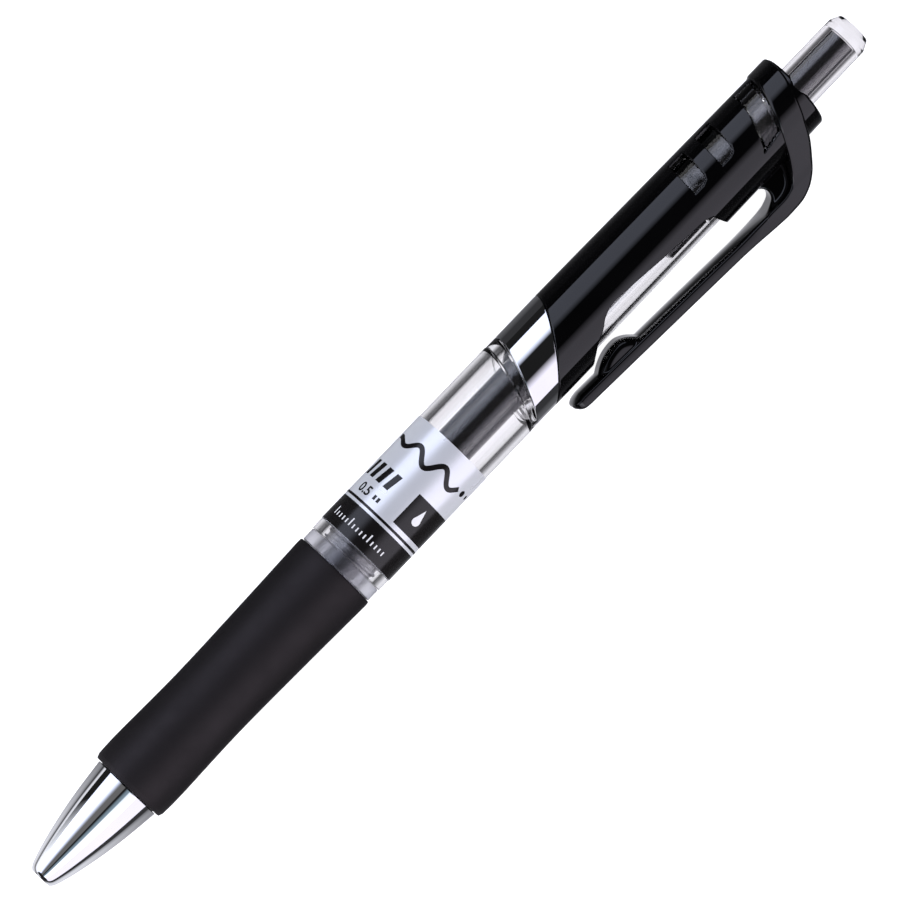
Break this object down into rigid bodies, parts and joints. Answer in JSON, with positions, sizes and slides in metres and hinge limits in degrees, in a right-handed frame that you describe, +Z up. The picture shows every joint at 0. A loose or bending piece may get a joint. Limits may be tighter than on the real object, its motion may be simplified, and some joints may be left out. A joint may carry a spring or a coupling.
{
  "type": "retractable gel pen",
  "caption": "Retractable gel pen with a plated nose, soft waisted grip, clear barrel and glossy black upper barrel with a swept spring clip and push button.",
  "frame": {"origin": "middle of the pen's footprint on the desk, with the pen lying down and rolled onto its clip", "axes": "+X along the pen from nose to button, +Z up from the desk, clip towards -Y and a little down"},
  "size_m": [0.142, 0.016, 0.0113],
  "materials": {
    "chrome_plate": "mirror-bright plating",
    "grip_rubber": "matte, very fine grain",
    "clear_plastic": "polished clear polystyrene",
    "label_film": "silver heat-transfer film with black print",
    "black_gloss": "piano-black moulded plastic",
    "black_plastic": "satin moulded plastic",
    "gel_ink": "wet black gel",
    "follower_grease": "clear pale grease",
    "refill_plastic": "thin natural polypropylene",
    "white_plastic": "natural polypropylene",
    "point_metal": "turned nickel silver",
    "ball_carbide": "polished carbide",
    "spring_steel": "drawn wire"
  },
  "bodies": {
    "barrel": {"nose_cone": "chrome_plate", "front_section": "clear_plastic", "rubber_grip": "grip_rubber", "clear_barrel": "clear_plastic", "barrel_label": "label_film", "mechanism_sleeve": "clear_plastic", "chrome_ring": "chrome_plate", "upper_barrel": "black_gloss", "return_spring": "spring_steel"},
    "button": {"button_shell": "clear_plastic", "button_core": "black_plastic"},
    "refill": {"refill_tube": "refill_plastic", "ink_column": "gel_ink", "ink_follower": "follower_grease", "tip_adaptor": "white_plastic", "tip_cone": "point_metal", "writing_ball": "ball_carbide"},
    "rotor": {"rotor_cam": "black_plastic"},
    "clip_arm": {"clip": "black_gloss"}
  },
  "joints": [
    {"name": "button_press", "type": "slide", "parent": "barrel", "child": "button", "axis": [-1, 0, 0], "range_m": [0, 0.0062], "stiffness_N_per_m": 140, "springref_m": -0.009},
    {"name": "refill_slide", "type": "slide", "parent": "barrel", "child": "refill", "axis": [-1, 0, 0], "range_m": [0, 0.0062], "deforming": ["return_spring"]},
    {"name": "rotor_turn", "type": "hinge", "parent": "refill", "child": "rotor", "pos_m": [0.039, 0.00237, 0.00567], "axis": [1, 0, 0], "range_deg": [0, 18.6]},
    {"name": "clip_flex", "type": "hinge", "parent": "barrel", "child": "clip_arm", "pos_m": [0.0477, -0.00597, 0.00237], "axis": [0, -0.3681, 0.9298], "range_deg": [0, 3], "stiffness_Nm_per_rad": 0.4}
  ],
  "couplings": [
    {"joint": "refill_slide", "follows": "button_press", "ratio": 1},
    {"joint": "rotor_turn", "follows": "button_press", "rad_per_m": 52.3}
  ]
}
